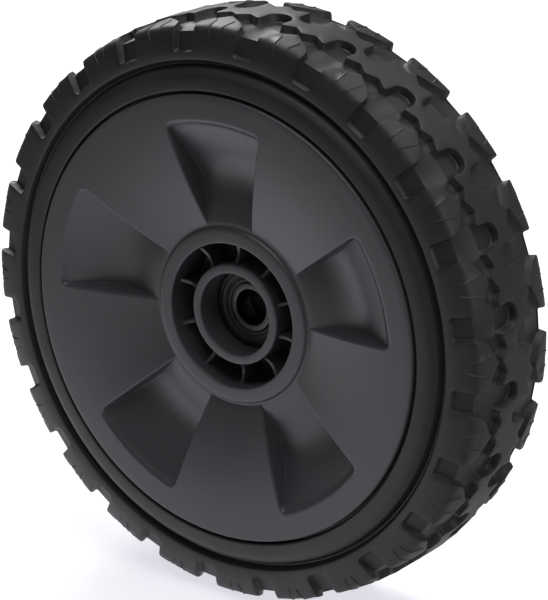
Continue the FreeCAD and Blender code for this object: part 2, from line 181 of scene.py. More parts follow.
# %% [markdown]
# ## The tyre's section
#
# Cut across, half of the tyre is a flat crown, a sloping shoulder, a short step to the sidewall, a narrow
# ring groove and a bead that sits against the rim. A Screw modifier could turn this line into a tyre, but
# the tread has to be laid on it. So a place is given as the way along the line from the middle of the crown.

# %% Draw the half section
SECTION = [
    # across the tyre, out from the axle, rounding
    (0, TYRE_RADIUS, 0),  # middle of the crown
    (10, TYRE_RADIUS, 14),  # end of its flat part
    (20.8, 97.9, 1.8),  # shoulder
    (22.8, 90.3, 1.6),  # top of the sidewall
    (22.5, 87.15, 0.6),  # ring groove, outer lip
    (20.2, 86.0, 0.4),  # its floor
    (20.2, 85.4, 0.4),
    (22.5, 84.25, 1.2),  # inner lip
    (24.2, 82.2, 3.0),  # bead
    (24.4, 77.05, 0.9),  # its edge over the rim's flange
    (21.95, 77.05, 0.2),  # inside the flange
    (21.95, 72.05, 0),  # seat on the rim
]
SECTION_RUN = 2.5
section = divided(rounded(SECTION), SECTION_RUN)
section_way = [0.0]
for start, end in zip(section, section[1:]):
    section_way.append(section_way[-1] + math.dist(start, end))
print("half of the section is", round(section_way[-1], 1), "mm long")

# %% [markdown]
# Slots sink into the rubber and fine lines stand up from it, so each place on the line also needs the
# direction that points out of it. Between two points of the line both place and direction are blended.

# %% Find a place over the section
HAIR = 1e-9


def section_normal(number):
    """The direction out of the rubber at a point of the section, as (across, radius)."""
    before = section[max(number - 1, 0)]
    after = section[min(number + 1, len(section) - 1)]
    run = Vector((after[0] - before[0], after[1] - before[1])).normalized()
    return Vector((-run.y, run.x)) if number else Vector((0, 1))


normals = [section_normal(number) for number in range(len(section))]


def on_section(way, height):
    """Distance from the middle plane and radius, at a way along the section and a height over it."""
    number = next(n for n in range(1, len(section)) if section_way[n] >= way - HAIR)
    share = (way - section_way[number - 1]) / (section_way[number] - section_way[number - 1])
    place = Vector(section[number - 1]).lerp(Vector(section[number]), share)
    place += normals[number - 1].lerp(normals[number], share).normalized() * height
    return place.x, place.y


print("30 mm along, the section is at", [round(value, 1) for value in on_section(30, 0)])

# %% [markdown]
# ## The tread
#
# The mould repeats one figure 24 times round the tyre. Each side has U-ended slots that run from the
# shoulder to just past the middle, and a zigzag gap that parts the toothed central rib from the shoulder
# blocks. A displacement map would leave soft walls, and booleans would leave long thin faces. So one figure
# is drawn flat as outlines, filled with triangles, raised or sunk, and wrapped round the tyre.
#
# Seen flat, `along` runs round the tyre and `out` runs from the middle of the crown to the shoulder.

# %% Draw the edges of the rib and of the blocks
REPEATS = 24
PITCH = 2 * math.pi * TYRE_RADIUS / REPEATS
HALF = PITCH / 2
SLOT_HALF, SLOT_END, NOTCH_END = 4.3, -0.5, 29.2
TOOTH, VALLEY, VALLEY_FROM_TOOTH = 9.4, 6.5, 3.84
TOOTH_ROUND, VALLEY_ROUND = 0.9, 1.2
BLOCK_TIP, BLOCK_CORNER = 11.0, 16.5
TIP_ROUND, SHOULDER_ROUND, NOTCH_ROUND = 1.0, 5.0, 1.5
EDGE_RUN = 1.6


def with_mirror(rows):
    """Half of an outline, followed by its mirror image."""
    return rows + [(-along, out, radius) for along, out, radius in reversed(rows)]


rib_edge = divided(rounded(with_mirror([
    (-HALF - VALLEY_FROM_TOOTH, VALLEY, 0),
    (-HALF, TOOTH, TOOTH_ROUND),
    (-HALF + VALLEY_FROM_TOOTH, VALLEY, VALLEY_ROUND),
    (-SLOT_HALF, TOOTH, TOOTH_ROUND),
    (-SLOT_HALF, SLOT_END, SLOT_HALF),
])), EDGE_RUN)
block_edge = divided(rounded(with_mirror([
    (-2 * HALF + SLOT_HALF, BLOCK_CORNER, 0),
    (-HALF, BLOCK_TIP, TIP_ROUND),
    (-SLOT_HALF, BLOCK_CORNER, SHOULDER_ROUND),
    (-SLOT_HALF, NOTCH_END, NOTCH_ROUND),
])), EDGE_RUN)
print("rib edge", len(rib_edge), "points, block edge", len(block_edge), "points")

# %% [markdown]
# ### Walls with a rounded top and a soft foot
#
# A tread block is rounded where it wears and has a soft foot, so that the mould lets go of it. A bevel
# would need clean faces that this figure lacks. Each outline becomes a wall by copying it sideways a few
# times instead: inside the rubber at full height, over the rounded edge, and out to the slot's floor.

# %% Copy an outline sideways
LONGEST_STRETCH, LEAST_LEAN = 1.6, 0.3


def beside(line, distance):
    """The line moved to its left by a distance."""
    moved = []
    for number in range(1, len(line) - 1):
        here = Vector(line[number])
        before = (here - Vector(line[number - 1])).normalized()
        after = (Vector(line[number + 1]) - here).normalized()
        left = Vector((-before.y - after.y, before.x + after.x)).normalized()
        lean = left.dot(Vector((-before.y, before.x)))
        stretch = min(LONGEST_STRETCH, 1 / max(LEAST_LEAN, lean))
        moved.append((here.x + left.x * distance * stretch, here.y + left.y * distance * stretch))
    return moved


print("1 mm beside its edge, the rib's outline has", len(beside(rib_edge, 1)), "points")

# %% Build the walls
SLOT_DEPTHS = [(0.0, 3.0), (20.0, 2.7), (NOTCH_END, 1.7)]
WALL = [
    # into the rubber, rise, share of the slot's depth
    (0.55, 0.0, 0),
    (0.16, -0.1, 0),
    (0.0, -0.42, 0),
    (-0.3, 0.4, 1),
    (-0.75, 0.0, 1),
]
SEAM_SNAP = 1e-3


def depth_at(out):
    """The slots are deepest on the crown and run out towards the sidewall."""
    for (start, deep), (end, shallow) in zip(SLOT_DEPTHS, SLOT_DEPTHS[1:]):
        if abs(out) <= end:
            return deep + (shallow - deep) * (abs(out) - start) / (end - start)
    return SLOT_DEPTHS[-1][1]


def wall_lines(edge, rubber_side):
    """The lines of a wall, each a list of (along, out, height) within one figure."""
    lines = []
    for inset, rise, floor_share in WALL:
        line = []
        for along, out in beside(edge, rubber_side * inset):
            if abs(abs(along) - HALF) < SEAM_SNAP:
                along = math.copysign(HALF, along)
            if abs(along) <= HALF:
                line.append((along, out, rise - floor_share * depth_at(out)))
        lines.append(line)
    return lines


rib_wall = wall_lines(rib_edge, -1)
block_wall = wall_lines(block_edge, 1)
print("a wall has", len(rib_wall), "lines, and its slot is", depth_at(0), "mm deep on the crown")

# %% [markdown]
# ### One figure as points and lines
#
# The near and the far side carry the same figure, but staggered, which keeps the wheel from drumming on
# hard ground. The points of the figure are collected once each, and lines that the triangles must follow
# are kept beside them. A curve object could hold the lines, but the numbers are needed again when wrapping.

# %% Collect points and lines
NEAR, FAR = -1, 1
STAGGER = {NEAR: 0.0, FAR: -math.radians(4.7) * TYRE_RADIUS}
seen = {}
flat_points = []
flat_edges = []


def add_point(along, out, height):
    """The number of a point of the figure, made once for each place."""
    key = (round(along, 3), round(out, 3))
    if key not in seen:
        seen[key] = len(flat_points)
        flat_points.append((along, out, height))
    return seen[key]


def add_line(line):
    """Draw a line of points that the triangles must follow."""
    numbers = [add_point(*point) for point in line]
    flat_edges.extend((a, b) for a, b in zip(numbers, numbers[1:]) if a != b)


def laid(line, side):
    """The line on its own side of the tyre, moved by that side's stagger."""
    return [(along + STAGGER[side], out * side, height) for along, out, height in line]


print("the far side is", round(abs(STAGGER[FAR]), 1), "mm behind the near side")

# %% [markdown]
# The figure is bounded by two seams that are copies of each other, one pitch apart, so that neighbours meet
# point for point. A seam runs along the middle of a block on each side and slants across the rib between.

# %% Draw the outlines of the figure
FIGURE_END = 30.7
GRID = 2.4
COLUMNS = 12


def straight(start, end):
    """Points at full height on a straight line."""
    return [(along, out, 0.0) for along, out in divided([start, end], GRID)]


def seam_half(side):
    """The seam from the figure's outer end to the tooth of the rib, on one side."""
    tip = [line[0] for line in block_wall]
    tooth = [line[0] for line in reversed(rib_wall)]
    return laid(straight((-HALF, FIGURE_END), tip[0][:2])[:-1] + tip + tooth, side)


near_seam, far_seam = seam_half(NEAR), seam_half(FAR)
seam = near_seam + straight(near_seam[-1][:2], far_seam[-1][:2])[1:-1] + list(reversed(far_seam))
for shift in (0.0, PITCH):
    add_line([(along + shift, out, height) for along, out, height in seam])
for side in (NEAR, FAR):
    end_line = [(-HALF + PITCH * column / COLUMNS, FIGURE_END, 0.0) for column in range(COLUMNS + 1)]
    add_line(laid(end_line, side))
    for line in rib_wall + block_wall:
        add_line(laid(line, side))
print("the figure has", len(flat_points), "points on its outlines")

# %% [markdown]
# ### Fine lines on the blocks
#
# Each shoulder block carries two thin raised lines that lean towards each other at the shoulder. Bump would
# only fake them, and they catch the light from the side, so they are shapes: narrow roofs with a crest and
# a foot on both sides. The seam runs between them, so each edge of the figure gets one.

# %% Add the fine lines
FINE_LINES = [((-3.9, 14.6), (-1.5, 25.2)), ((3.3, 14.6), (1.5, 25.2))]
FINE_HALF, FINE_RISE = 0.27, 0.28
FINE_SHARES = (0.06, 0.3, 0.5, 0.7, 0.94)


def fine_line(start, end):
    """Three lines of (along, out, height): left foot, crest, right foot, all meeting at both ends."""
    start, end = Vector(start), Vector(end)
    foot = (end - start).normalized().orthogonal() * FINE_HALF
    lines = []
    for shift, rise in ((-1, 0.0), (0, FINE_RISE), (1, 0.0)):
        line = [(start.x, start.y, 0.0)]
        for share in FINE_SHARES:
            place = start.lerp(end, share) + foot * shift
            line.append((place.x, place.y, rise))
        line.append((end.x, end.y, 0.0))
        lines.append(line)
    return lines


for side in (NEAR, FAR):
    for start, end in FINE_LINES:
        shift = HALF if start[0] < 0 else -HALF
        for line in fine_line(start, end):
            add_line(laid([(along + shift, out, height) for along, out, height in line], side))
print("each block has", len(FINE_LINES), "fine lines, so the figure now has", len(flat_points), "points")

# %% [markdown]
# ### Points on the open rubber
#
# Between the outlines lie wide faces that have to bend with the tyre. Long triangles across them would show
# as flats, so loose points are spread there, clear of every line. A place is on rubber if it is beyond the
# wall of a block or on the rib's side of the rib's wall.

# %% Tell rubber from slot
def below(point, line):
    """True where the line passes on the shoulder's side of the point."""
    crossings = 0
    for (a, b, _), (c, d, _) in zip(line, line[1:]):
        if (a > point[0]) != (c > point[0]):
            crossings += b + (d - b) * (point[0] - a) / (c - a) > point[1]
    return crossings % 2 == 1


def on_rubber(along, out):
    """True where a place of the figure is on the rib or on a block, at full height."""
    for side in (NEAR, FAR):
        place = along - STAGGER[side], out * side
        place = (place[0] + HALF) % PITCH - HALF, place[1]
        if below(place, block_wall[0]) != below(place, rib_wall[0]):
            return False
    return True


print("the middle of a slot is rubber:", on_rubber(STAGGER[NEAR], NEAR * 15.0))

# %% Spread the points
SEAM_CLEAR, LINE_CLEAR = 1.2, 1.1
outline_points = [Vector(point[:2]) for point in flat_points]
left_edge = [(out, along) for along, out, _ in seam]


def seam_at(out):
    """Where the left seam lies at a place across the tread."""
    for (a, b), (c, d) in zip(left_edge, left_edge[1:]):
        if a <= out <= c:
            return b + (d - b) * (out - a) / (c - a)
    return left_edge[-1][1]


rows = int(2 * FIGURE_END / GRID)
for row in range(1, rows):
    out = -FIGURE_END + 2 * FIGURE_END * row / rows
    for column in range(1, int(PITCH / GRID)):
        along = seam_at(out) + GRID * (column + 0.5 * (row % 2))
        place = Vector((along, out))
        if along < seam_at(out) + PITCH - SEAM_CLEAR and on_rubber(along, out):
            if min((place - other).length for other in outline_points) > LINE_CLEAR:
                add_point(along, out, 0.0)
print("with points on the open rubber:", len(flat_points))

# %% [markdown]
# ### Fill the figure with triangles
#
# Blender can fill any set of points and lines with well-shaped triangles. It keeps to the lines and leaves
# out what lies outside the seams, so the walls stay where they were drawn.

# %% Triangulate the figure
INSIDE_ONLY, SAME_FLAT_PLACE = 1, 1e-4
flat = delaunay_2d_cdt(
    [Vector(point[:2]) for point in flat_points], flat_edges, [], INSIDE_ONLY, SAME_FLAT_PLACE)
figure_points, figure_faces, figure_sources = flat[0], flat[2], flat[3]
figure_heights = [flat_points[sources[0]][2] if sources else 0.0 for sources in figure_sources]
lost = sum(1 for sources in figure_sources if not sources)
print("one figure:", len(figure_faces), "triangles,", lost, "points made by crossing lines")

# %% [markdown]
# ### Wrap the figures round the tyre
#
# A Curve modifier or an Array could bend copies of the figure, but neither follows the tyre's own section.
# So every point is placed one by one: `along` becomes an angle, and `out` a way along the section. Points
# that two neighbours share are made once.

# %% Wrap the tread
TREAD_PHASE = math.radians(9.8)
tyre_points = []
tyre_faces = []
tyre_numbers = {}


def tyre_point(along, out, height):
    """The number of a point on the tyre, shared between neighbouring figures."""
    across, radius = on_section(abs(out), height)
    point = around(radius, math.copysign(across, out), TREAD_PHASE + along / TYRE_RADIUS)
    key = tuple(round(value, 3) for value in point)
    if key not in tyre_numbers:
        tyre_numbers[key] = len(tyre_points)
        tyre_points.append(point)
    return tyre_numbers[key]


for repeat in range(REPEATS):
    wrapped = [
        tyre_point(point.x + PITCH * repeat, point.y, height)
        for point, height in zip(figure_points, figure_heights)
    ]
    for face in figure_faces:
        corners = [wrapped[number] for number in face]
        if len(set(corners)) == len(corners):
            tyre_faces.append(corners)
print("the tread has", len(tyre_faces), "triangles")

# %% [markdown]
# ### Close the sidewalls
#
# The outer end of the figure carries on as rings down the sidewall, over the ring groove and the bead to
# the seat on the rim, so the tyre is one closed skin. Rings joined by four-sided faces are the simplest
# way, and the rim and the bearings are made of them too.

# %% Build the tyre
RING_CLEAR = 0.3
sidewall_ways = [FIGURE_END] + [way for way in section_way if way > FIGURE_END + RING_CLEAR]


def tyre_ring(side, way):
    """The numbers of one ring of points on a sidewall."""
    start = -HALF + STAGGER[side]
    return [
        tyre_point(start + PITCH * column / COLUMNS, side * way, 0.0)
        for column in range(COLUMNS * REPEATS)
    ]


def bridge(rings, faces):
    """Join each ring to the next by four-sided faces."""
    for ring, following in zip(rings, rings[1:]):
        for number in range(len(ring)):
            after = (number + 1) % len(ring)
            faces.append((ring[number], ring[after], following[after], following[number]))


near_rings = [tyre_ring(NEAR, way) for way in sidewall_ways]
far_rings = [tyre_ring(FAR, way) for way in sidewall_ways]
bridge(near_rings + list(reversed(far_rings)), tyre_faces)
tyre = make_piece("tyre_skin", tyre_points, tyre_faces)
stand_for(tyre, "tyre", "wheel", "tyre_rubber")
print("each sidewall has", len(near_rings), "rings")

# %% [markdown]
# ## The rim
#
# One moulding in dark plastic. Its front is a shallow cone with five scoops pressed into it, a raised ring
# round the hub and a deep recess with ten thin ribs. Its back is open, with ten tall ribs. Joining solids
# with booleans would leave sharp, ragged edges. So the rim is drawn as rings round the axle that follow its
# section, front and back, and every ring dips or rises where a scoop or a rib crosses it.

# %% Height of the disc's front
SCOOPS = 5
SECTOR = 2 * math.pi / SCOOPS
SPOKE = SECTOR / 2
RIM_PHASE = math.radians(20.4)
FACE_OUTER, FACE_INNER = (76.2, -HALF_WIDTH), (30.6, -16.8)
FACE_RUN = FACE_OUTER[0] - FACE_INNER[0]
FACE_RISE = FACE_INNER[1] - FACE_OUTER[1]
FACE_BULGE = 7.0


def cone_at(radius):
    """The straight cone between the disc's inner and outer edge."""
    return FACE_INNER[1] - FACE_RISE * (radius - FACE_INNER[0]) / FACE_RUN


def face_at(radius):
    """The front of the disc: the cone, swelled a little so that it is steeper near the hub."""
    share = (radius - FACE_INNER[0]) / FACE_RUN
    return cone_at(radius) - FACE_BULGE * share * (1 - share)


print("the disc's face swells by", FACE_BULGE / 4, "mm")

# %% [markdown]
# ### The scoops
#
# A scoop is a valley of two slopes, one that falls from the hub and a longer one that climbs to the edge,
# with a short wall at its outer end and side walls that have a little draft, so that the mould lets go.
# Sculpting would give five unlike scoops. Here each slope and wall is a depth of its own, the least of them
# wins, and a soft change from one to the other gives the rounded bottom and the small fillets.

# %% Soft changes between depths
SCOOP_HALF = math.radians(16.25)
SCOOP_IN, SCOOP_DEEPEST, END_WALL, SCOOP_OUT = 31.5, 48.0, 66.0, 67.4
VALLEY_DEPTH, END_DEPTH = 9.2, 1.4
VALLEY_SOFT, FLOOR_SOFT, END_SOFT = 8.0, 1.2, 0.6


def softly_least(a, b, soft):
    """The smaller of two depths, with a fillet where they are alike."""
    share = min(1.0, max(0.0, 0.5 + 0.5 * (b - a) / soft))
    return b + (a - b) * share - soft * share * (1 - share)


def softly_most(a, b, soft):
    """The larger of two depths, with a fillet where they are alike."""
    return -softly_least(-a, -b, soft)


def bottom_depth(radius):
    """Depth of a scoop's middle under the disc's face."""
    falling = VALLEY_DEPTH * (radius - SCOOP_IN) / (SCOOP_DEEPEST - SCOOP_IN)
    climbing = END_DEPTH + (VALLEY_DEPTH - END_DEPTH) * (END_WALL - radius) / (END_WALL - SCOOP_DEEPEST)
    end_wall = END_DEPTH * (SCOOP_OUT - radius) / (SCOOP_OUT - END_WALL)
    return softly_least(falling, softly_least(climbing, end_wall, END_SOFT), VALLEY_SOFT)


print("the valley is", round(bottom_depth(SCOOP_DEEPEST), 2), "mm deep, rounded from", VALLEY_DEPTH, "mm")

# %% Depth of a scoop
WALL_SLOPE = 8.0
MOUTH_ROUND, CORNER_ROUND = 0.7, 3.0
SHALLOW_SHARE, LEAST_SOFT = 0.8, 0.01


def wall_depth(inward):
    """Depth of a side wall: a rounded edge and then a straight wall with draft."""
    if inward > 0:
        return MOUTH_ROUND + WALL_SLOPE * inward
    past = max(0.0, inward + MOUTH_ROUND)
    return MOUTH_ROUND - math.sqrt(MOUTH_ROUND ** 2 - past ** 2)


def scoop_depth(radius, angle):
    """Depth under the disc's face, at an angle from the middle of a scoop."""
    if not SCOOP_IN < radius < SCOOP_OUT + END_SOFT:
        return 0.0
    side = (SCOOP_HALF - abs(angle)) * radius
    end = SCOOP_OUT - radius
    if side < CORNER_ROUND and end < CORNER_ROUND:
        side = CORNER_ROUND - math.hypot(CORNER_ROUND - side, CORNER_ROUND - end)
    bottom = softly_most(bottom_depth(radius), 0.0, END_SOFT)
    soft = min(FLOOR_SOFT, SHALLOW_SHARE * bottom + LEAST_SOFT)
    return max(0.0, softly_least(bottom, wall_depth(side), soft))


def face_height(radius, y, angle):
    """The disc's front, sunk where a scoop crosses it."""
    return y + scoop_depth(radius, angle)


print("scoop depth at 60 mm from the axle:", round(scoop_depth(60, 0), 2), "mm")

# %% [markdown]
# ### The ribs in the recess
#
# Ten thin ribs tie the hub tube to the raised ring. Their tops sag a little and are rounded. They could be
# ten boxes joined to the rim, but then the rim would no longer be one skin. So the recess's own floor rises
# to the rib's top where a rib crosses it.

# %% Height in the recess
HUB_OUTSIDE, RING_INSIDE = 17.3, 24.8
FRONT_RIB_HALF, FRONT_RIB_ROUND = 0.6, 0.2
FRONT_RIB_TOP, FRONT_RIB_DIP = -14.1, 1.6
RIB_SIDE = 0.01


def from_rib(angle, radius):
    """Distance from the middle of the nearest of the ten ribs."""
    return min(abs(angle), SPOKE - abs(angle)) * radius


def edge_round(distance, half, radius):
    """How far a rounded rib top has dropped at a distance from its middle."""
    past = distance - (half - radius)
    return 0.0 if past <= 0 else radius - math.sqrt(max(0.0, radius * radius - past * past))


def recess_height(radius, y, angle):
    """The recess, with a thin rib where one crosses it."""
    distance = from_rib(angle, radius)
    if distance > FRONT_RIB_HALF + RIB_SIDE:
        return y
    middle = (HUB_OUTSIDE + RING_INSIDE) / 2
    reach = (RING_INSIDE - HUB_OUTSIDE) / 2
    sag = FRONT_RIB_DIP * max(0.0, 1 - ((radius - middle) / reach) ** 2)
    return min(y, FRONT_RIB_TOP + sag + edge_round(distance, FRONT_RIB_HALF, FRONT_RIB_ROUND))


print("a front rib is", 2 * FRONT_RIB_HALF, "mm thick")

# %% [markdown]
# ### The back
#
# Tall ribs stiffen the disc from behind, and between them the backs of the scoops bulge out, because the
# wall of a moulding has to stay thin. A Solidify modifier would thicken the ribs as well. So the back has a
# height of its own: the disc's back, the back of a scoop as two arcs, or the top of a rib.

# %% Height of the back
DISC_THICK = 3.5
HUB_REAR_OUTSIDE, BARREL_INSIDE = 18.5, 68.0
BACK_RIB_HALF, BACK_RIB_ROUND = 1.1, 0.25
BACK_RIB_TOP = (HUB_REAR_OUTSIDE, 18.0), (BARREL_INSIDE, 21.0)
HOUSING_IN, HOUSING_MIDDLE, HOUSING_OUT, HOUSING_TOP = 30.25, 45.0, 69.25, -8.85
HOUSING_HALF, HOUSING_ROUND = SCOOP_HALF + math.radians(3.18), 1.5


def back_at(radius):
    """The back of the disc."""
    return cone_at(radius) + DISC_THICK


def arc_drop(run, span, rise):
    """How far an arc has dropped from its top after a run, when it drops by `rise` over `span`."""
    radius = (span * span + rise * rise) / (2 * rise)
    return radius - math.sqrt(max(0.0, radius * radius - run * run))


def housing_at(radius):
    """The back of a scoop along its middle: one arc towards the hub, a longer one towards the edge."""
    end = HOUSING_IN if radius < HOUSING_MIDDLE else HOUSING_OUT
    span = abs(end - HOUSING_MIDDLE)
    run = min(span, abs(radius - HOUSING_MIDDLE))
    return HOUSING_TOP - arc_drop(run, span, HOUSING_TOP - cone_at(end))


def back_height(radius, y, angle):
    """The back, with a tall rib or the back of a scoop where one crosses it."""
    distance = from_rib(angle, radius)
    if distance < BACK_RIB_HALF + RIB_SIDE:
        (r0, y0), (r1, y1) = BACK_RIB_TOP
        top = y0 + (y1 - y0) * (radius - r0) / (r1 - r0)
        return max(y, top - edge_round(distance, BACK_RIB_HALF, BACK_RIB_ROUND))
    inward = (HOUSING_HALF - abs(angle)) * radius
    if inward > 0 and HOUSING_IN < radius < HOUSING_OUT:
        return max(y, housing_at(radius) - edge_round(HOUSING_ROUND - inward, HOUSING_ROUND, HOUSING_ROUND))
    return y


scoop_floor = face_at(HOUSING_MIDDLE) + bottom_depth(HOUSING_MIDDLE)
print("under a scoop the wall is", round(HOUSING_TOP - scoop_floor, 2), "mm thick")

# %% [markdown]
# ### Where the points of a ring crowd
#
# All rings have the same number of points, so that they can be joined, but the points crowd where that ring
# has an edge. Even spacing would need many times more for the same edges. Half of a sector runs from the
# middle of a scoop to the middle of a spoke. A layout lists the places on it that need a point: an angle
# plus a few millimetres to either side. A plain number asks for that many points, spread evenly.

# %% Lay out the points of a ring
FOOT_SHARES = (2.6, 1.9, 1.5, 1.25, 1.1, 1.0, 0.88, 0.7, 0.4, 0.12)
PAST_FOOT = (2.3, 1.6, 1.0, 0.5)
BESIDE_MOUTH = (0.03, 0.12, 0.28, 0.48, 0.7, 1.0)
LEAST_FOOT = 0.25
THIN_RIB = (0, 0.35, 0.52, 0.6, 0.63, 0.9)
TALL_RIB = (0, 0.6, 0.95, 1.1, 1.13, 1.5, 2.2)
HOUSING_SIDE = (-1.5, -0.6, -0.15, -0.02, 0.02, 0.5, 1.2)


def ribbed(beside_rib, between):
    """A layout with a rib at both ends of the half sector."""
    return [(0, d) for d in beside_rib] + between + [(SPOKE, -d) for d in reversed(beside_rib)]


RECESS_LAYOUT = ribbed(THIN_RIB, [20])
BACK_LAYOUT = ribbed(TALL_RIB, [6] + [(HOUSING_HALF, d) for d in HOUSING_SIDE] + [5])


def front_layout(radius):
    """On the front the points follow the foot and the mouth of a scoop's side wall."""
    foot = max(LEAST_FOOT, (bottom_depth(radius) - MOUTH_ROUND) / WALL_SLOPE)
    past = [(SCOOP_HALF, -foot * FOOT_SHARES[0] - d) for d in PAST_FOOT]
    wall = [(SCOOP_HALF, -foot * share) for share in FOOT_SHARES]
    mouth = [(SCOOP_HALF, d) for d in BESIDE_MOUTH]
    return [(0, 0), 4] + past + wall + mouth + [6, (SPOKE, 0)]


print("the layouts have", len(front_layout(50)), len(RECESS_LAYOUT), len(BACK_LAYOUT), "entries")

# %% Turn a layout into angles
def columns(layout, radius):
    """The angles of half a sector at a radius."""
    angles = []
    waiting = 0
    for entry in layout:
        if isinstance(entry, int):
            waiting = entry
            continue
        angle = entry[0] + entry[1] / radius
        if waiting:
            start = angles[-1]
            angles += [start + (angle - start) * (n + 1) / (waiting + 1) for n in range(waiting)]
            waiting = 0
        angles.append(angle)
    return angles


def ring_angles(layout, radius):
    """The angles of a whole ring, measured from the middle of a scoop in each sector."""
    half = columns(layout, radius)
    sector = [-angle for angle in reversed(half[1:])] + half[:-1]
    return [(number, angle) for number in range(SCOOPS) for angle in sector]


print("a ring has", len(ring_angles(RECESS_LAYOUT, 20.0)), "points in each layout")

# %% [markdown]
# ### The rim's section
#
# The section is walked once round: from the hub tube's mouth over the recess, the raised ring, the disc,
# the front flange, the seat under the tyre, the rear flange, the back of the disc and the hub's bore to
# where it began. Each step of the walk is one ring: its radius, its place along the axle, the layout of its
# points and the height that applies there.

# %% Walk over the hub and the disc
HUB_BORE, BORE_START, HUB_FRONT, RECESS_FLOOR = 14.01, -13.0, -16.3, -3.1
RING_OUTSIDE, RING_TOP, RING_FOOT, FACE_START = 29.7, -18.1, 30.5, 33.5
RECESS_MARGIN, RECESS_MOUTH = 0.05, -17.0
RING_MIDDLE, FACE_FROM = 26, 29.9
HUB_RUN = 1.5
DISC_FIRST, DISC_LAST = 34.0, 69.3
NEAR_HUB, NEAR_END = 36, 63
HUB_STEP, DISC_STEP, END_STEP = 0.5, 1.1, 0.4


def plain_height(radius, y, angle):
    """A surface that is the same all round."""
    return y


walk = []
for radius, y in divided(rounded([
    (HUB_BORE, BORE_START, 0),
    (HUB_BORE, HUB_FRONT, 0.5),
    (HUB_OUTSIDE, HUB_FRONT, 0.6),
    (HUB_OUTSIDE, RECESS_FLOOR, 0.8),
    (RING_INSIDE, RECESS_FLOOR, 0.8),
    (RING_INSIDE, RING_TOP, 0.5),
    (RING_OUTSIDE, RING_TOP, 0.6),
    (RING_FOOT, face_at(RING_FOOT), 1.0),
    (FACE_START, face_at(FACE_START), 0),
]), HUB_RUN):
    height = face_height if radius > FACE_FROM else plain_height
    if HUB_OUTSIDE - RECESS_MARGIN < radius < RING_INSIDE + RECESS_MARGIN and y > RECESS_MOUTH:
        height = recess_height
    walk.append((radius, y, RECESS_LAYOUT if radius < RING_MIDDLE else front_layout(radius), height))
radius = DISC_FIRST
while radius < DISC_LAST:
    walk.append((radius, face_at(radius), front_layout(radius), face_height))
    radius += HUB_STEP if radius < NEAR_HUB else END_STEP if radius > NEAR_END else DISC_STEP
print("hub and disc take", len(walk), "rings")

# %% Walk over the flanges and the back
FLANGE_OUTSIDE, FLANGE_INSIDE, SEAT_RADIUS = FACE_OUTER[0], 22.0, 72.0
FLANGE_FROM, BACK_FROM = 69.4, 66.0
FRONT_BEYOND = 68.1
FLANGE_RUN = 3.0
BACK_FIRST, BACK_LAST, BACK_STEP = 65.2, 29.5, 1.2

for radius, y in divided(rounded([
    (FLANGE_FROM, face_at(FLANGE_FROM), 0),
    (FLANGE_OUTSIDE, -HALF_WIDTH, 0.7),
    (FLANGE_OUTSIDE, -FLANGE_INSIDE, 0.2),
    (SEAT_RADIUS, -FLANGE_INSIDE, 0.2),
    (SEAT_RADIUS, FLANGE_INSIDE, 0.2),
    (FLANGE_OUTSIDE, FLANGE_INSIDE, 0.2),
    (FLANGE_OUTSIDE, HALF_WIDTH, 0.7),
    (BARREL_INSIDE, HALF_WIDTH, 0.5),
    (BARREL_INSIDE, back_at(BARREL_INSIDE), 0.8),
    (BACK_FROM, back_at(BACK_FROM), 0),
]), FLANGE_RUN):
    if y < 0 and radius > FRONT_BEYOND:
        walk.append((radius, y, front_layout(radius), plain_height))
    else:
        walk.append((radius, y, BACK_LAYOUT, back_height))
radius = BACK_FIRST
while radius > BACK_LAST:
    walk.append((radius, back_at(radius), BACK_LAYOUT, back_height))
    radius -= BACK_STEP
print("with the flanges and the back:", len(walk), "rings")

# %% Walk through the hub and build the rim
RECESS_OUTSIDE, RECESS_BACK, HUB_REAR = 27.8, -0.1, 22.0
LAND_RADIUS, LAND_FRONT, LAND_REAR = 12.01, 0.8, 13.0
HUB_BACK_FROM, BORE_END = 29.0, -12.0
INSIDE_HUB = 18.4
BORE_RUN = 2.5

for radius, y in divided(rounded([
    (HUB_BACK_FROM, back_at(HUB_BACK_FROM), 0),
    (RECESS_OUTSIDE, back_at(RECESS_OUTSIDE), 0.8),
    (RECESS_OUTSIDE, RECESS_BACK, 0.8),
    (HUB_REAR_OUTSIDE, RECESS_BACK, 0.8),
    (HUB_REAR_OUTSIDE, HUB_REAR, 0.5),
    (HUB_BORE, HUB_REAR, 0.5),
    (HUB_BORE, LAND_REAR, 0),
    (LAND_RADIUS, LAND_REAR, 0.2),
    (LAND_RADIUS, LAND_FRONT, 0.2),
    (HUB_BORE, LAND_FRONT, 0),
    (HUB_BORE, BORE_END, 0),
]), BORE_RUN):
    if radius < INSIDE_HUB:
        walk.append((radius, y, RECESS_LAYOUT, plain_height))
    else:
        walk.append((radius, y, BACK_LAYOUT, back_height))

rim_points = []
rim_rings = []
for radius, y, layout, height in walk:
    ring = []
    for sector, angle in ring_angles(layout, radius):
        ring.append(len(rim_points))
        rim_points.append(around(radius, height(radius, y, angle), RIM_PHASE + sector * SECTOR + angle))
    rim_rings.append(ring)
rim_faces = []
bridge(rim_rings + [rim_rings[0]], rim_faces)
rim = make_piece("rim_moulding", rim_points, rim_faces)
stand_for(rim, "rim", "wheel", "rim_plastic")
print("the rim has", len(rim_rings), "rings")

# %% [markdown]
# ## The bearings
#
# What shows of a sealed bearing is two ground rings with rounded edges and a rubber-faced seal between
# them. They are turned parts. A Screw or Spin tool would make them too, but the rings of points that made
# the rim serve here as well: each piece is its section, set round the axle in steps.

# %% Turn a section round the axle
TURNS = 128


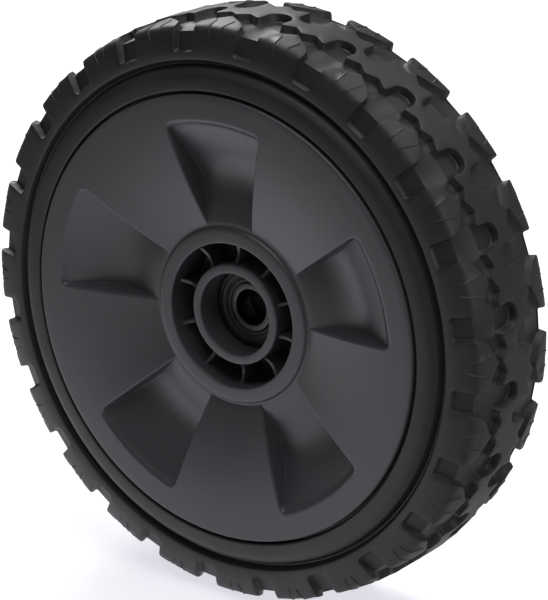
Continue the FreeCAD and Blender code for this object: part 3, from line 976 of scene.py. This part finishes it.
def turned(name, rows, node, body, slot):
    """A turned piece from the closed outline of its section, in rows of radius, y and rounding."""
    points = []
    rings = []
    for radius, y in rounded(rows, closed=True):
        ring = []
        for step in range(TURNS):
            ring.append(len(points))
            points.append(around(radius, y, 2 * math.pi * step / TURNS))
        rings.append(ring)
    faces = []
    bridge(rings + [rings[0]], faces)
    piece = make_piece(name, points, faces)
    stand_for(piece, node, body, slot)


print("turned pieces have", TURNS, "steps round the axle")

# %% [markdown]
# ### The sections of a bearing
#
# Each ring has a race for the balls, drawn with two slopes and a flat because it is out of sight, and the
# outer ring has a step at each end that the seal sits in. Both rings are alike at both ends, so half a
# section is drawn and mirrored. The seal has a raised lip at its inner and its outer edge.

# %% Draw the rings and the seal
BORE, INNER_OUT, OUTER_IN, OUTSIDE = 6.0, 8.45, 11.55, 14.0
BEARING_HALF = 4.0
RACE_REACH, BALL_CIRCLE = 2.441, 10.0
RACE_FLAT = RACE_REACH * (math.sqrt(2) - 1)
RACE_HALF = RACE_FLAT + RACE_REACH - (OUTER_IN - BALL_CIRCLE)
SEAL_IN, SEAL_OUT, SEAL_SEAT = 8.6, 12.28, 12.3
SEAL_LOW, SEAL_WEB, SEAL_HIGH = 2.95, 3.5, 3.7

outer_section = with_mirror([
    # along the axle, radius, rounding
    (BEARING_HALF, OUTSIDE, 0.6), (BEARING_HALF, SEAL_SEAT, 0.12), (SEAL_LOW, SEAL_SEAT, 0),
    (SEAL_LOW, OUTER_IN, 0), (RACE_HALF, OUTER_IN, 0.1), (RACE_FLAT, BALL_CIRCLE + RACE_REACH, 0),
])
inner_section = with_mirror([
    (BEARING_HALF, BORE, 0.6), (BEARING_HALF, INNER_OUT, 0.25), (RACE_HALF, INNER_OUT, 0.1),
    (RACE_FLAT, BALL_CIRCLE - RACE_REACH, 0),
])
seal_section = [
    (SEAL_LOW, SEAL_IN, 0.05), (SEAL_WEB, SEAL_IN, 0.15), (SEAL_HIGH, 8.9, 0.15), (SEAL_HIGH, 9.7, 0.1),
    (SEAL_WEB, 10.0, 0.1), (SEAL_WEB, 11.2, 0.1), (SEAL_HIGH, 11.5, 0.1), (SEAL_HIGH, SEAL_OUT, 0.15),
    (SEAL_LOW, SEAL_OUT, 0.05),
]
print("a race is", round(2 * RACE_HALF, 2), "mm wide at its mouth")

# %% [markdown]
# ### Both bearings and the sleeve
#
# The front bearing sits deep in the hub tube and the rear one near its other end, each against the land
# between them. A steel sleeve holds their inner rings apart. The balls and their cage are sealed in, so the
# CAD solids stay as they are and only get a finish.

# %% Turn the pieces
SLEEVE_OUTSIDE, SLEEVE_ROUND = 8.0, 0.3
BEARINGS = [
    # name, way out of the hub, middle
    ("front", -1, LAND_FRONT - BEARING_HALF),
    ("rear", 1, LAND_REAR + BEARING_HALF),
]
for place, outward, middle in BEARINGS:
    for part, rows, sense, body, slot in (
        ("outer_ring", outer_section, 1, "wheel", "bearing_steel"),
        ("inner_ring", inner_section, 1, "axle_core", "bearing_steel"),
        ("outside_seal", seal_section, outward, "wheel", "seal_rubber"),
        ("inside_seal", seal_section, -outward, "wheel", "seal_rubber"),
    ):
        placed = [(radius, middle + sense * y, rounding) for y, radius, rounding in rows]
        turned(f"{place}_{part}", placed, f"{place}_bearing_{part}", body, slot)
turned("sleeve", [
    (BORE, LAND_FRONT, SLEEVE_ROUND),
    (SLEEVE_OUTSIDE, LAND_FRONT, SLEEVE_ROUND),
    (SLEEVE_OUTSIDE, LAND_REAR, SLEEVE_ROUND),
    (BORE, LAND_REAR, SLEEVE_ROUND),
], "axle_spacer", "axle_core", "spacer_steel")
print("pieces that stand for a solid:", len(dressed))

# %% [markdown]
# ## Finishes
#
# No moulding is quite even, and no ground ring is a mirror. Painted pictures could show that, but they blur
# up close. Every finish here is worked out from the place on the piece: a slow change of colour and gloss,
# and a fine grain that breaks up the light. On plastic and rubber the grain is the mould's own texture, on
# steel it is what grinding leaves.

# %% A helper for finishes
RAMP_ENDS, GLOSS_ENDS = (0.35, 0.65), (0.3, 0.7)
PATCH_DETAIL, GRAIN_DETAIL = 4, 3


def cloud(nodes, links, size, detail):
    """A noise that is fixed to the piece, with lumps of that size in millimetres."""
    place = nodes.new("ShaderNodeTexCoord")
    noise = nodes.new("ShaderNodeTexNoise")
    noise.inputs["Scale"].default_value = 1 / (size * MM)
    noise.inputs["Detail"].default_value = detail
    links.new(place.outputs["Object"], noise.inputs["Vector"])
    return noise.outputs["Fac"]


def new_finish(name, dark, light, patch, rough, grain, grain_height, metallic):
    """A material with slow changes of colour and gloss and a fine grain. Lengths are in millimetres."""
    material = bpy.data.materials.new(name)
    material.use_nodes = True
    nodes, links = material.node_tree.nodes, material.node_tree.links
    shader = nodes["Principled BSDF"]
    shader.inputs["Metallic"].default_value = metallic
    patches = cloud(nodes, links, patch, PATCH_DETAIL)
    colours = nodes.new("ShaderNodeValToRGB")
    for stop, position, colour in zip(colours.color_ramp.elements, RAMP_ENDS, (dark, light)):
        stop.position = position
        stop.color = (*colour, 1)
    links.new(patches, colours.inputs["Fac"])
    links.new(colours.outputs["Color"], shader.inputs["Base Color"])
    gloss = nodes.new("ShaderNodeMapRange")
    gloss.inputs["From Min"].default_value, gloss.inputs["From Max"].default_value = GLOSS_ENDS
    gloss.inputs["To Min"].default_value, gloss.inputs["To Max"].default_value = rough
    links.new(patches, gloss.inputs["Value"])
    links.new(gloss.outputs["Result"], shader.inputs["Roughness"])
    bump = nodes.new("ShaderNodeBump")
    bump.inputs["Distance"].default_value = grain_height * MM
    bump.inputs["Strength"].default_value = 1.0
    links.new(cloud(nodes, links, grain, GRAIN_DETAIL), bump.inputs["Height"])
    links.new(bump.outputs["Normal"], shader.inputs["Normal"])
    return material


print("colours change between", RAMP_ENDS, "of the noise")

# %% [markdown]
# The rim is a satin, slightly purple black, and the tyre is a duller and warmer black. The steel of the
# bearing rings is painted nearly black: painted shade for the dark deep in the hub tube, not the colour of
# ground steel. Two close shades for each finish are enough: a wider range would look like dirt.

# %% Plastic, rubber and steel
FINISHES = [
    # name, darkest, lightest, patch, roughness, grain, grain height, metallic
    ("rim_plastic", (0.056, 0.054, 0.0632), (0.067, 0.0645, 0.0755), 30, (0.33, 0.40), 0.6, 0.015, 0),
    ("tyre_rubber", (0.013, 0.013, 0.012), (0.019, 0.019, 0.017), 20, (0.48, 0.58), 0.8, 0.03, 0),
    # bearing rings: steel colour painted nearly black, painted shade for the dark inside the hub tube
    ("bearing_steel", (0.045, 0.045, 0.047), (0.065, 0.065, 0.067), 4, (0.28, 0.4), 0.4, 0.004, 1),
    ("ball_steel", (0.55, 0.55, 0.57), (0.62, 0.62, 0.64), 2, (0.1, 0.18), 0.3, 0.001, 1),
    ("cage_plastic", (0.55, 0.50, 0.38), (0.62, 0.57, 0.44), 3, (0.45, 0.55), 0.4, 0.006, 0),
    ("seal_rubber", (0.020, 0.020, 0.021), (0.030, 0.030, 0.032), 4, (0.45, 0.55), 0.3, 0.006, 0),
    ("spacer_steel", (0.030, 0.030, 0.030), (0.042, 0.042, 0.041), 4, (0.35, 0.5), 0.5, 0.005, 1),
]
finishes = {row[0]: new_finish(*row) for row in FINISHES}
for place in ("front", "rear"):
    dressed.append((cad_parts[f"{place}_bearing_balls"], "ball_steel"))
    dressed.append((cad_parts[f"{place}_bearing_cage"], "cage_plastic"))
for piece, slot in dressed:
    piece.data.materials.clear()
    piece.data.materials.append(finishes[slot])
print("finishes:", ", ".join(finishes))

# %% [markdown]
# ## The stage
#
# The wheel stands on a pale floor under soft lamps, as a product does on a photographer's table. Real
# paper turns white by more light, but that would bleach the wheel. Here the floor glows where the camera
# sees it, just enough to be white in the open and to keep the soft shadow under the tyre. Shiny pieces
# mirror a glowing table near the wheel, and the dark of the room beyond it.

# %% Floor
FLOOR_SIZE = 8.0
FLOOR_GREY, FLOOR_ROUGH = 0.5, 0.9
FLOOR_Z = -TYRE_RADIUS * MM
bpy.ops.mesh.primitive_plane_add(size=FLOOR_SIZE, location=(0, 0, FLOOR_Z))
floor = bpy.context.object
floor.name = "floor"
floor_paint = bpy.data.materials.new("floor_paint")
floor_paint.use_nodes = True
floor_nodes, floor_links = floor_paint.node_tree.nodes, floor_paint.node_tree.links
floor_shader = floor_nodes["Principled BSDF"]
floor_shader.inputs["Base Color"].default_value = (FLOOR_GREY, FLOOR_GREY, FLOOR_GREY, 1)
floor_shader.inputs["Roughness"].default_value = FLOOR_ROUGH
floor_shader.inputs["Specular IOR Level"].default_value = 0.0
floor.data.materials.append(floor_paint)
print("floor at", FLOOR_Z, "m")

# %% The floor's glow
GLOW_COLOUR, SEEN_GLOW = (1.0, 0.98, 1.07, 1), 0.68
TABLE_MIDDLE, TABLE_EDGE = (-0.1, -0.08, 0.0), (0.10, 0.26)


def floor_math(operation, first, second):
    """The outcome of two sockets, or of a socket and a plain number."""
    node = floor_nodes.new("ShaderNodeMath")
    node.operation = operation
    floor_links.new(first, node.inputs[0])
    if isinstance(second, float):
        node.inputs[1].default_value = second
    else:
        floor_links.new(second, node.inputs[1])
    return node.outputs[0]


floor_place = floor_nodes.new("ShaderNodeTexCoord")
away = floor_nodes.new("ShaderNodeVectorMath")
away.operation = "DISTANCE"
away.inputs[1].default_value = TABLE_MIDDLE
floor_links.new(floor_place.outputs["Object"], away.inputs[0])
fade = floor_nodes.new("ShaderNodeMapRange")
fade.interpolation_type = "SMOOTHSTEP"
fade.inputs["From Min"].default_value, fade.inputs["From Max"].default_value = TABLE_EDGE
fade.inputs["To Min"].default_value, fade.inputs["To Max"].default_value = 1.0, 0.0
floor_links.new(away.outputs["Value"], fade.inputs["Value"])
ray = floor_nodes.new("ShaderNodeLightPath")
mirrored = floor_math("MAXIMUM", ray.outputs["Is Glossy Ray"], ray.outputs["Is Transmission Ray"])
table = floor_math("MULTIPLY", mirrored, fade.outputs["Result"])
open_floor = floor_math("MULTIPLY", ray.outputs["Is Camera Ray"], SEEN_GLOW)
glow = floor_nodes.new("ShaderNodeEmission")
glow.inputs["Color"].default_value = GLOW_COLOUR
floor_links.new(floor_math("MAXIMUM", open_floor, table), glow.inputs["Strength"])
both = floor_nodes.new("ShaderNodeAddShader")
floor_links.new(floor_shader.outputs[0], both.inputs[0])
floor_links.new(glow.outputs[0], both.inputs[1])
floor_links.new(both.outputs[0], floor_nodes["Material Output"].inputs["Surface"])
print("the mirrored table ends", TABLE_EDGE[1], "m from its middle")

# %% [markdown]
# ### Lamps and room
#
# Four soft boxes stand in for a studio: one overhead, one over the far side of the crown, one that skims
# the table and the top of the tread, and one at the right for the tread's flank. A sun lamp would draw hard
# edges. The room adds a little light from everywhere, so that no slot turns quite black.

# %% Lamps and world
WORLD_LIGHT = 0.12
LAMPS = [
    # name, place, aim, size, power
    ("top_lamp", (0.25, -0.2, 1.4), (0, 0, 0), 1.2, 11.0),
    ("crown_lamp", (0.4, 0.8, 1.2), (0, 0, 0), 0.7, 3.8),
    ("table_lamp", (-0.55, 0.4, 0.6), (-0.12, -0.1, -0.1), 0.4, 6.0),
    ("right_lamp", (1.3, 0.1, 0.5), (0, 0, 0), 0.5, 3.2),
]
for name, place, aim, size, power in LAMPS:
    soft_box = bpy.data.lights.new(name, "AREA")
    soft_box.size = size
    soft_box.energy = power
    lamp = bpy.data.objects.new(name, soft_box)
    bpy.context.scene.collection.objects.link(lamp)
    lamp.location = place
    lamp.rotation_euler = (Vector(aim) - Vector(place)).to_track_quat("-Z", "Y").to_euler()
room = bpy.data.worlds.new("studio")
bpy.context.scene.world = room
room.use_nodes = True
room.node_tree.nodes["Background"].inputs["Color"].default_value = (1, 1, 1, 1)
room.node_tree.nodes["Background"].inputs["Strength"].default_value = WORLD_LIGHT
print("lamps:", len(LAMPS))

# %% [markdown]
# ## The camera
#
# The photograph was taken from the front right and a little above, from about a metre away, so the camera
# has a long lens. Its place was found by laying the wheel's round edges over those in the photograph.

# %% Camera and view
CAMERA_PLACE = (0.5605, -0.7603, 0.3348)
CAMERA_LOOK = (-0.5566, 0.7609, -0.3336)
SENSOR, LENS = 36, 180
camera_data = bpy.data.cameras.new("camera")
camera_data.sensor_width = SENSOR
camera_data.lens = LENS
camera = bpy.data.objects.new("camera", camera_data)
bpy.context.scene.collection.objects.link(camera)
camera.location = CAMERA_PLACE
camera.rotation_euler = Vector(CAMERA_LOOK).to_track_quat("-Z", "Y").to_euler()
bpy.context.scene.camera = camera
bpy.context.scene.view_settings.view_transform = "Standard"
print("camera", round(Vector(CAMERA_PLACE).length, 3), "m from the wheel's middle")
